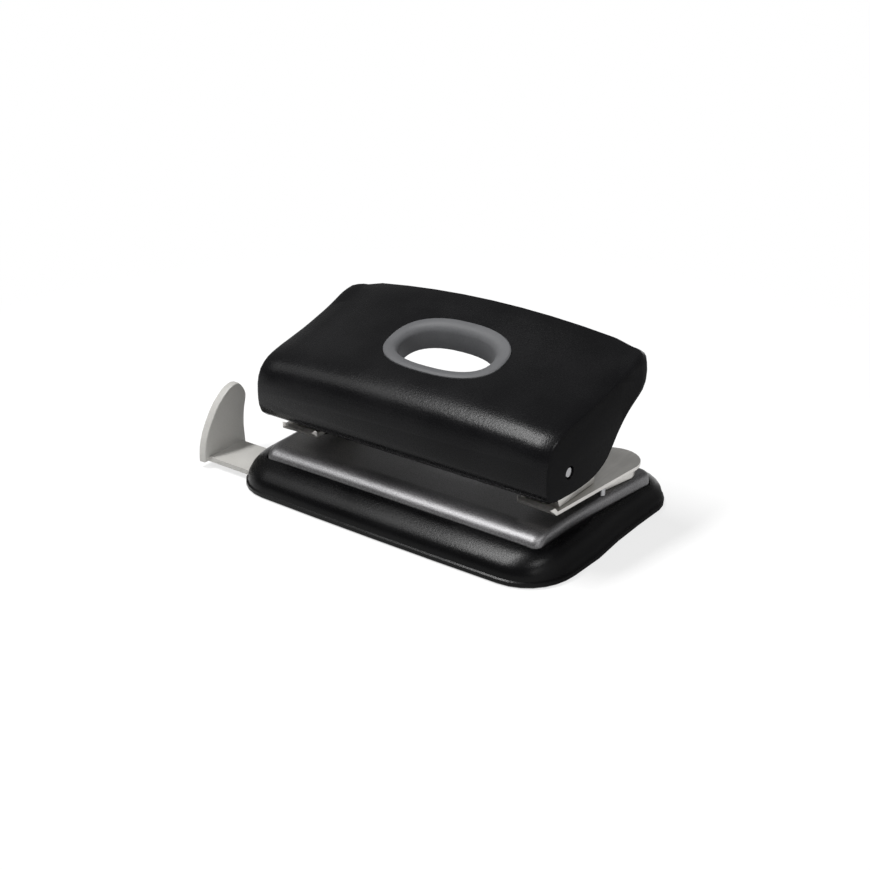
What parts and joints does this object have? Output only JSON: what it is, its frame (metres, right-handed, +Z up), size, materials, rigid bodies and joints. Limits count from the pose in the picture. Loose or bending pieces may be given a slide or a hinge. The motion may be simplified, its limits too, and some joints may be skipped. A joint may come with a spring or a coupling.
{
  "type": "two-hole paper punch",
  "caption": "Compact desk hole punch: black lever with an oval finger hole, steel punch frames on a pressed plate, black chip tray and a sliding paper guide",
  "frame": {"origin": "centre of the chip tray's flat underside", "axes": "+X along the length, away from the paper guide; +Y to the back, under the lever's raised end; +Z up"},
  "size_m": [0.1235, 0.0734, 0.0515],
  "materials": {
    "tray_black": "satin black plastic",
    "lever_black": "fine-grained black plastic",
    "ring_grey": "soft grey plastic",
    "guide_grey": "light warm grey plastic",
    "plate_steel": "dark grey metallic lacquer",
    "frame_steel": "plain light steel",
    "bright_steel": "ground bright steel",
    "spring_steel": "drawn spring wire and strip"
  },
  "bodies": {
    "tray": {"chip_tray": "tray_black"},
    "base": {"base_plate": "plate_steel", "hinge_pin": "bright_steel", "punch_frame_left": "frame_steel", "slot_spacer_left": "frame_steel", "paper_stop_left": "bright_steel", "pin_bracket_left": "frame_steel", "hinge_clip_left": "spring_steel", "punch_frame_right": "frame_steel", "slot_spacer_right": "frame_steel", "paper_stop_right": "bright_steel", "pin_bracket_right": "frame_steel", "hinge_clip_right": "spring_steel", "frame_rivet_left_1": "bright_steel", "frame_rivet_left_2": "bright_steel", "frame_rivet_right_1": "bright_steel", "frame_rivet_right_2": "bright_steel"},
    "lever": {"lever_shell": "lever_black", "grip_ring": "ring_grey", "press_plate_left": "frame_steel", "press_screw_left": "bright_steel", "press_plate_right": "frame_steel", "press_screw_right": "bright_steel"},
    "pin_left": {"punch_pin_left": "bright_steel", "pin_clip_left": "spring_steel", "punch_spring_left": "spring_steel"},
    "pin_right": {"punch_pin_right": "bright_steel", "pin_clip_right": "spring_steel", "punch_spring_right": "spring_steel"},
    "guide": {"paper_guide": "guide_grey"}
  },
  "joints": [
    {"name": "tray_opening", "type": "hinge", "parent": "tray", "child": "base", "pos_m": [0, 0.0249, 0.0079], "axis": [-1, 0, 0], "range_deg": [0, 40]},
    {"name": "lever_press", "type": "hinge", "parent": "base", "child": "lever", "pos_m": [0, -0.0171, 0.026], "axis": [-1, 0, 0], "range_deg": [0, 22.5], "stiffness_Nm_per_rad": 0.05, "springref_deg": -20.05},
    {"name": "punch_left", "type": "slide", "parent": "base", "child": "pin_left", "axis": [0, 0, -1], "range_m": [0, 0.004], "deforming": ["punch_spring_left"]},
    {"name": "punch_right", "type": "slide", "parent": "base", "child": "pin_right", "axis": [0, 0, -1], "range_m": [0, 0.004], "deforming": ["punch_spring_right"]},
    {"name": "guide_slide", "type": "slide", "parent": "tray", "child": "guide", "axis": [1, 0, 0], "range_m": [-0.025, 0.011]}
  ],
  "couplings": [
    {"joint": "punch_left", "follows": "lever_press", "m_per_rad": 0.010185},
    {"joint": "punch_right", "follows": "lever_press", "m_per_rad": 0.010185}
  ]
}
